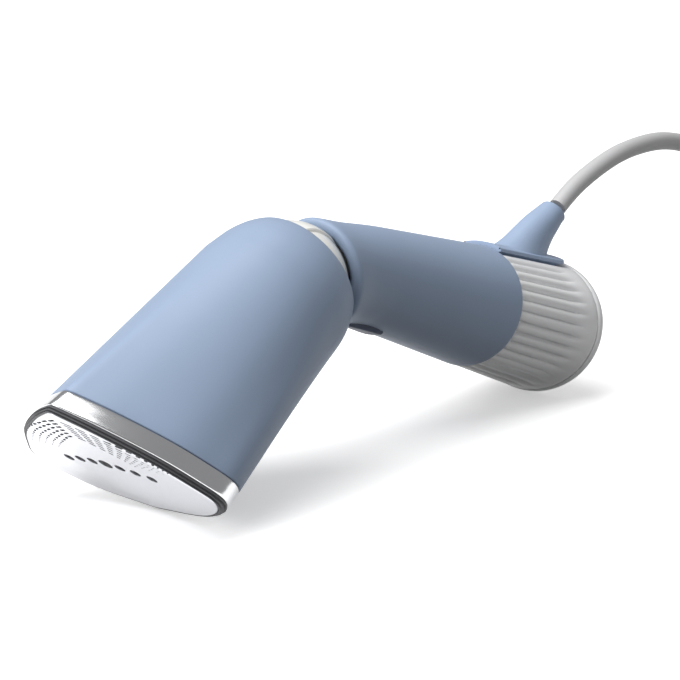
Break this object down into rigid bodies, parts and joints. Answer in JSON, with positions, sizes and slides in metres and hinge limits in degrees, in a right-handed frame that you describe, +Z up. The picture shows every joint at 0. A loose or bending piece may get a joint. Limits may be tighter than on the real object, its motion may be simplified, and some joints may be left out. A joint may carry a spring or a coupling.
{
  "type": "garment steamer",
  "caption": "Folding hand-held garment steamer: flared steam head on a ball joint, round handle with trigger, ribbed slide-off water tank and cord spur.",
  "frame": {"origin": "middle of the body's footprint on the ground, cord left out", "axes": "+Z up, +X from the steam head towards the water tank, fold axis along Y"},
  "size_m": [0.5254, 0.1057, 0.0886],
  "materials": {
    "shell_blue": "satin pale blue moulding",
    "shell_blue_spur": "satin pale blue moulding",
    "pearl": "gloss off-white",
    "band": "brushed bright metal band",
    "plate": "fine brushed, coated",
    "casting": "raw die casting",
    "graphite": "heat resistant dark moulding",
    "navy": "dark satin",
    "tank_body": "milky grey, ribbed",
    "tank_end": "milky grey",
    "seal": "soft seal",
    "white": "natural moulding",
    "brass": "plain",
    "steel": "plain",
    "board": "circuit board",
    "cord_sheath": "matt grey sheath",
    "plug": "matt grey moulding"
  },
  "bodies": {
    "handle": {"chassis": "white", "chassis_screw_1": "steel", "chassis_screw_2": "steel", "control_board": "board", "cord_clamp": "graphite", "cord_coil": "cord_sheath", "cord_run": "cord_sheath", "cord_spur": "shell_blue_spur", "cord_tie": "graphite", "dock_seal": "seal", "handle_sleeve": "shell_blue", "hinge_pin_far": "steel", "hinge_pin_near": "steel", "inlet_hose": "white", "knuckle": "pearl", "micro_switch": "graphite", "plug_body": "plug", "plug_pin_1": "steel", "plug_pin_2": "steel", "pump_body": "white", "pump_coil": "brass", "pump_outlet": "white", "tank_dock": "white", "water_hose": "white"},
    "head": {"chamber_carrier": "graphite", "chamber_lid": "casting", "gasket_frame": "graphite", "head_hose": "white", "head_liner": "graphite", "head_shell": "shell_blue", "heating_element": "steel", "lid_screw_1": "steel", "lid_screw_2": "steel", "lid_screw_3": "steel", "plate_gasket": "seal", "steam_chamber": "casting", "steam_inlet": "brass", "steam_plate": "plate", "thermal_fuse": "brass", "thermostat": "steel", "trim_band": "band"},
    "trigger": {"trigger": "navy", "trigger_spring": "steel"},
    "tank": {"filler_stopper": "graphite", "suction_tube": "white", "tank_foot": "tank_end", "tank_shell": "tank_body", "tank_valve": "white", "tube_weight": "brass", "valve_spring": "steel"}
  },
  "joints": [
    {"name": "head_fold", "type": "hinge", "parent": "handle", "child": "head", "pos_m": [-0.01989, 0, 0.0651], "axis": [0, 1, 0], "range_deg": [0, 44]},
    {"name": "trigger_press", "type": "slide", "parent": "handle", "child": "trigger", "axis": [0.3364, 0, 0.9417], "range_m": [0, 0.0018], "stiffness_N_per_m": 600},
    {"name": "tank_slide", "type": "slide", "parent": "handle", "child": "tank", "axis": [0.9417, 0, -0.3364], "range_m": [0, 0.05]}
  ]
}
